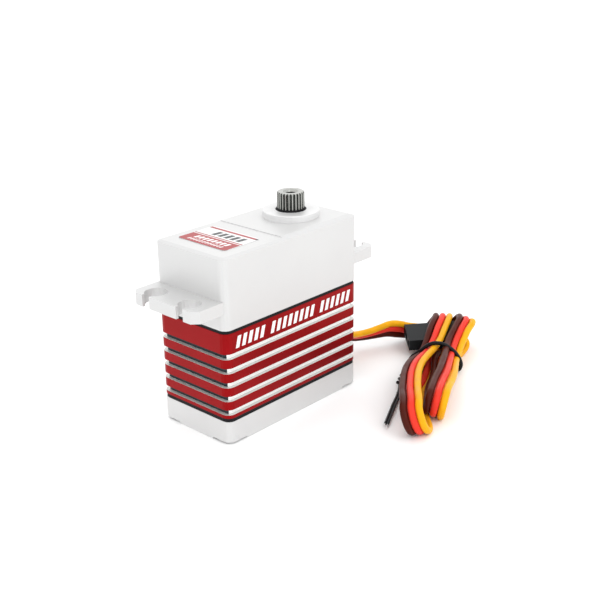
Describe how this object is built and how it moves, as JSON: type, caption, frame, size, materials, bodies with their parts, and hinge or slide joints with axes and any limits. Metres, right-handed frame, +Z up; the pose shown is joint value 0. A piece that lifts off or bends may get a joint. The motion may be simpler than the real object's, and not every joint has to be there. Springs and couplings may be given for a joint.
{
  "type": "hobby servo motor",
  "caption": "Metal-cased hobby servo motor with mounting ears, splined output shaft, gear train, motor, position sensor and a hanked three-wire lead with a plug.",
  "frame": {"origin": "centre of the bottom cover's underside, where the servo stands on a bench", "axes": "+X along the case towards the output shaft's end, -Y the long front face, +Z up along the output shaft"},
  "size_m": [0.0853, 0.0489, 0.0458],
  "materials": {
    "silver_case": "fine bead-blasted, clear anodised",
    "red_case": "satin red anodised aluminium with bare grooves",
    "gasket": "matte black",
    "steel": "machined",
    "brass": "machined",
    "label": "printed film",
    "board": "green solder mask",
    "black_plastic": "moulded black",
    "white_plastic": "moulded off-white",
    "rotor": "laminations wound with copper wire",
    "contact": "gold-plated",
    "wire_brown": "satin insulation",
    "wire_red": "satin insulation",
    "wire_yellow": "satin insulation"
  },
  "bodies": {
    "case": {"top_case": "silver_case", "bottom_cover": "silver_case", "middle_case": "red_case", "upper_gasket": "gasket", "lower_gasket": "gasket", "top_label": "label", "upper_bearing_outer_race": "steel", "lower_bearing_outer_race": "steel", "pin_1": "steel", "pin_2": "steel", "motor_can": "steel", "motor_end_cap": "white_plastic", "motor_screw_1": "steel", "motor_screw_2": "steel", "potentiometer_body": "black_plastic", "circuit_board": "board", "controller_chip": "black_plastic", "driver_chip_1": "black_plastic", "driver_chip_2": "black_plastic", "capacitor": "black_plastic", "cable_grommet": "gasket", "lead_brown": "wire_brown", "lead_red": "wire_red", "lead_yellow": "wire_yellow", "lead_hank": "wire_red", "twist_tie": "black_plastic", "plug_housing": "black_plastic", "plug_contact_1": "contact", "plug_contact_2": "contact", "plug_contact_3": "contact", "case_screw_1": "steel", "case_screw_2": "steel", "case_screw_3": "steel", "case_screw_4": "steel"},
    "output": {"output_shaft": "steel", "output_gear": "steel", "shaft_seal": "gasket", "upper_bearing_inner_race": "steel", "lower_bearing_inner_race": "steel", "potentiometer_shaft": "brass"},
    "upper_balls": {"upper_bearing_balls": "steel"},
    "lower_balls": {"lower_bearing_balls": "steel"},
    "third_gear": {"gear_3": "steel"},
    "second_gear": {"gear_2": "steel"},
    "first_gear": {"gear_1": "brass"},
    "motor_spindle": {"motor_rotor": "rotor", "motor_pinion": "brass"}
  },
  "joints": [
    {"name": "motor_spin", "type": "hinge", "parent": "case", "child": "motor_spindle", "pos_m": [-0.008, 0, 0.02], "axis": [0, 0, 1], "range_deg": [-8188, 8188]},
    {"name": "output_spin", "type": "hinge", "parent": "case", "child": "output", "pos_m": [0.00985, 0, 0.0404], "axis": [0, 0, 1], "range_deg": [-90, 90]},
    {"name": "third_gear_spin", "type": "hinge", "parent": "case", "child": "third_gear", "pos_m": [-0.00014, 0.0015, 0.031], "axis": [0, 0, 1], "range_deg": [-219.6, 219.6]},
    {"name": "second_gear_spin", "type": "hinge", "parent": "case", "child": "second_gear", "pos_m": [-0.00678, -0.0024, 0.031], "axis": [0, 0, 1], "range_deg": [-693.1, 693.1]},
    {"name": "first_gear_spin", "type": "hinge", "parent": "case", "child": "first_gear", "pos_m": [-0.00014, 0.0015, 0.031], "axis": [0, 0, 1], "range_deg": [-1780.8, 1780.8]},
    {"name": "upper_balls_spin", "type": "hinge", "parent": "case", "child": "upper_balls", "pos_m": [0.00985, 0, 0.0404], "axis": [0, 0, 1], "range_deg": [-40, 40]},
    {"name": "lower_balls_spin", "type": "hinge", "parent": "case", "child": "lower_balls", "pos_m": [0.00985, 0, 0.0404], "axis": [0, 0, 1], "range_deg": [-38, 38]}
  ],
  "couplings": [
    {"joint": "third_gear_spin", "follows": "output_spin", "ratio": -2.4286},
    {"joint": "second_gear_spin", "follows": "output_spin", "ratio": 7.6905},
    {"joint": "first_gear_spin", "follows": "output_spin", "ratio": -19.776},
    {"joint": "motor_spin", "follows": "output_spin", "ratio": 90.967},
    {"joint": "upper_balls_spin", "follows": "output_spin", "ratio": 0.44},
    {"joint": "lower_balls_spin", "follows": "output_spin", "ratio": 0.42}
  ]
}
